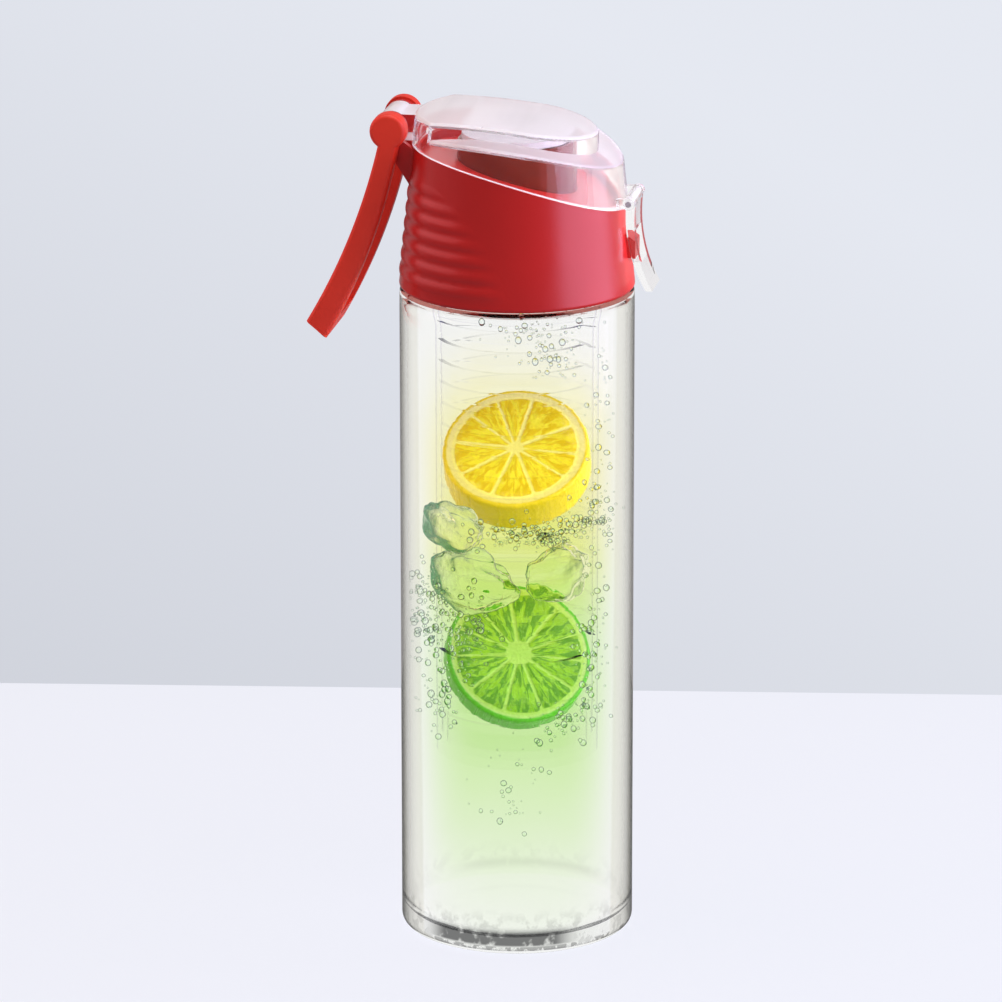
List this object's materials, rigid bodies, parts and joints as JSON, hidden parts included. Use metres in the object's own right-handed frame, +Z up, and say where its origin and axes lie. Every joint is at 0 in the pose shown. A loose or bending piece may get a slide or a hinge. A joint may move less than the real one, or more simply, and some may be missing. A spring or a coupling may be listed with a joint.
{
  "type": "fruit infuser water bottle",
  "caption": "Clear cylindrical drinking bottle with a red screw lid, hinged clear cover, front latch, loop handle, spout and a slotted infuser tube holding citrus slices.",
  "frame": {"origin": "on the bottle's axis, at the flat underside it stands on", "axes": "+Z up along the bottle's axis, +X to the front with the latch, -X to the back with the hinge and handle"},
  "size_m": [0.1059, 0.0722, 0.2601],
  "materials": {
    "clear_bottle": "clear moulded copolyester, polished",
    "clear_cover": "clear moulded plastic, polished",
    "clear_infuser": "clear moulded plastic",
    "red_plastic": "glossy red moulded plastic",
    "silicone": "soft translucent white silicone",
    "steel": "plain steel pin",
    "lemon": "wet cut fruit",
    "lime": "wet cut fruit"
  },
  "bodies": {
    "bottle": {"bottle_body": "clear_bottle"},
    "lid_rise": {"lid_seal": "silicone"},
    "lid": {"lid_shell": "red_plastic", "inner_cap": "red_plastic", "spout": "red_plastic", "spout_gasket": "silicone", "infuser_ring": "silicone", "hinge_pin": "steel"},
    "cover": {"flip_cover": "clear_cover", "spout_seal": "silicone", "latch_pin": "steel"},
    "latch": {"latch": "clear_cover"},
    "handle": {"carry_handle": "red_plastic"},
    "infuser": {"infuser_basket": "clear_infuser", "lemon_slice": "lemon", "lime_slice": "lime"},
    "infuser_end": {"infuser_cap": "clear_infuser"}
  },
  "joints": [
    {"name": "lid_lift", "type": "slide", "parent": "bottle", "child": "lid_rise", "axis": [0, 0, 1], "range_m": [0, 0.00625]},
    {"name": "lid_turn", "type": "hinge", "parent": "lid_rise", "child": "lid", "pos_m": [0, 0, 0.212], "axis": [0, 0, 1], "range_deg": [0, 450]},
    {"name": "cover_open", "type": "hinge", "parent": "lid", "child": "cover", "pos_m": [-0.0374, 0, 0.2545], "axis": [0, -1, 0], "range_deg": [0, 135]},
    {"name": "latch_swing", "type": "hinge", "parent": "cover", "child": "latch", "pos_m": [0.03585, 0, 0.234], "axis": [0, -1, 0], "range_deg": [0, 100]},
    {"name": "handle_swing", "type": "hinge", "parent": "lid", "child": "handle", "pos_m": [-0.0374, 0, 0.2545], "axis": [0, -1, 0], "range_deg": [-150, 12]},
    {"name": "infuser_turn", "type": "hinge", "parent": "lid", "child": "infuser", "pos_m": [0, 0, 0.2166], "axis": [0, 0, 1], "range_deg": [0, 30]},
    {"name": "infuser_cap_pull", "type": "slide", "parent": "infuser", "child": "infuser_end", "axis": [0, 0, -1], "range_m": [0, 0.03]}
  ],
  "couplings": [
    {"joint": "lid_lift", "follows": "lid_turn", "m_per_rad": 0.00079577}
  ]
}
